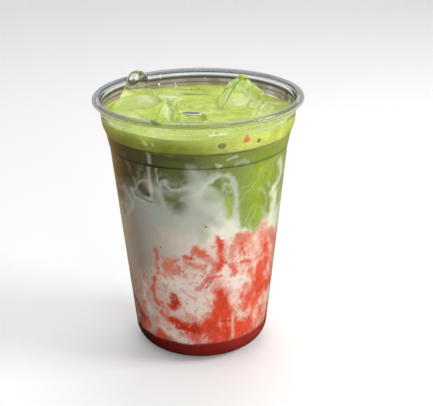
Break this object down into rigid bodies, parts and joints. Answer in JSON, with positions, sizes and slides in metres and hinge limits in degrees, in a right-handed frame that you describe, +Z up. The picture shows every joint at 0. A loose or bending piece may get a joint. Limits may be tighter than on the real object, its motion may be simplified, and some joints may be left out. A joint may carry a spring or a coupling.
{
  "type": "iced strawberry matcha latte",
  "caption": "Iced matcha latte over milk, strawberry pulp and syrup, with foam and floating ice, in a clear tapered cup with a rolled lip.",
  "frame": {"origin": "middle of the base, on the surface the cup stands on", "axes": "+Z up the cup's axis, -Y towards the front that the picture shows, +X to its right"},
  "size_m": [0.098, 0.098, 0.13],
  "materials": {
    "clear_cup": "clear PET, polished",
    "syrup": "dark strawberry syrup",
    "strawberry": "strawberry pulp in milk",
    "milk": "milk",
    "matcha": "matcha milk",
    "foam": "matcha foam",
    "ice": "melting clear ice"
  },
  "bodies": {
    "root": {"cup": "clear_cup", "strawberry_syrup": "syrup", "strawberry_pulp": "strawberry", "milk": "milk", "matcha": "matcha", "matcha_foam": "foam", "ice_crown": "ice", "ice_ridge": "ice", "ice_slab": "ice", "ice_hollow": "ice", "ice_corner": "ice"}
  },
  "joints": []
}
